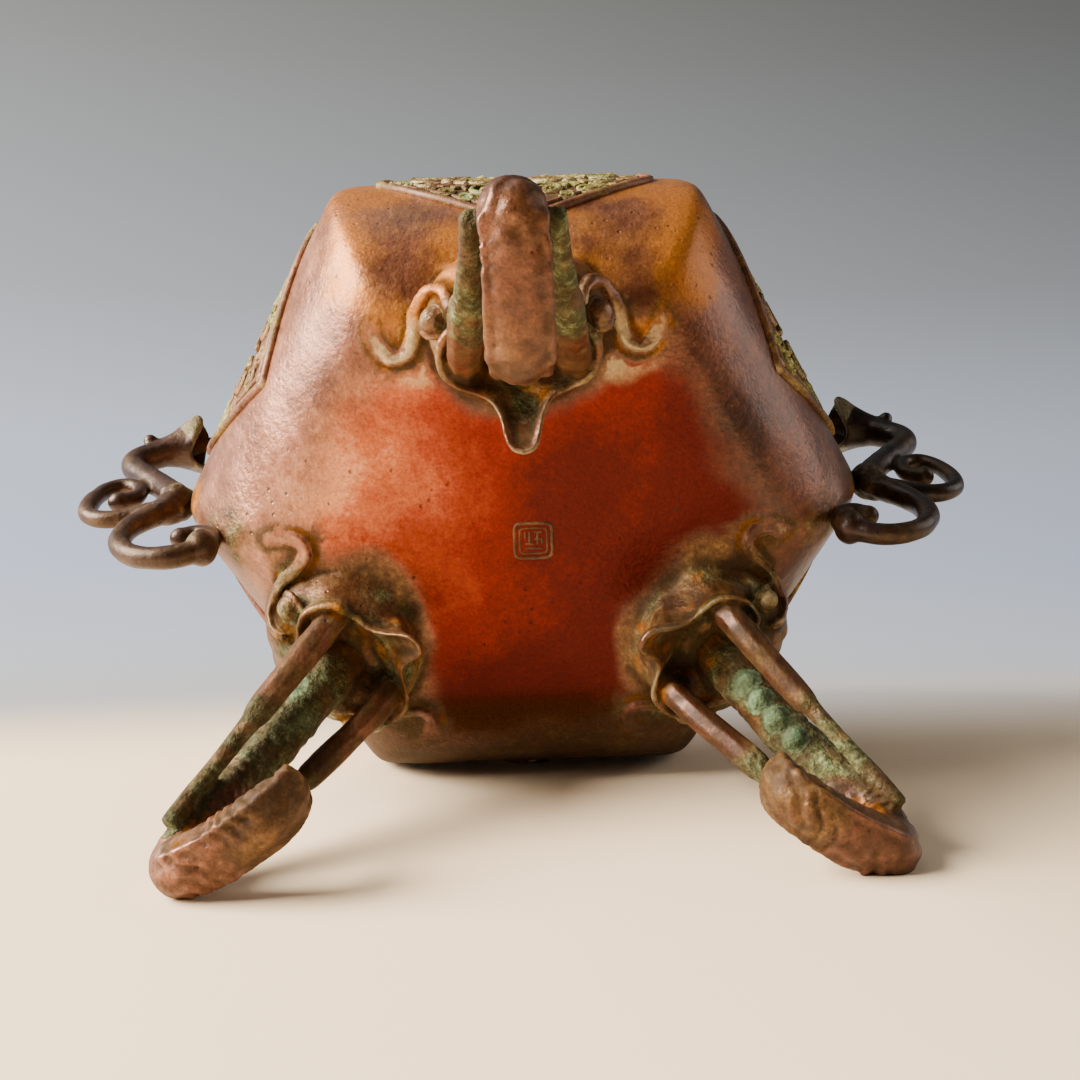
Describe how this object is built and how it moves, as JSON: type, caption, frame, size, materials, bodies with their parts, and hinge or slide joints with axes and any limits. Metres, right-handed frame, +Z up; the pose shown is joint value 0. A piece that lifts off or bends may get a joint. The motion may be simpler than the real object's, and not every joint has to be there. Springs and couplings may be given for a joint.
{
  "type": "incense burner",
  "caption": "Hexagonal bronze incense burner with raised scroll panels, elephant-head legs whose trunks curl into feet, and scroll handles at the corners; it holds ash and incense.",
  "frame": {"origin": "centre of the bounding box over the ground plane on which the feet stand; the axis of the bowl stands 3.5 mm from it towards +Y, because one leg reaches out along -Y", "axes": "+Z up along the axis of the bowl, -Y towards the single front leg, -X and +X through the corners that carry the handles"},
  "size_m": [0.1576, 0.1142, 0.125],
  "materials": {
    "vessel": "red-brown patina, satin, with green and olive in the recesses",
    "handle_left": "dark brown patina, worn bright on the outside of the scrolls",
    "handle_right": "dark brown patina, worn bright on the outside of the scrolls"
  },
  "bodies": {
    "root": {"vessel": "vessel", "handle_left": "handle_left", "handle_right": "handle_right"}
  },
  "joints": []
}
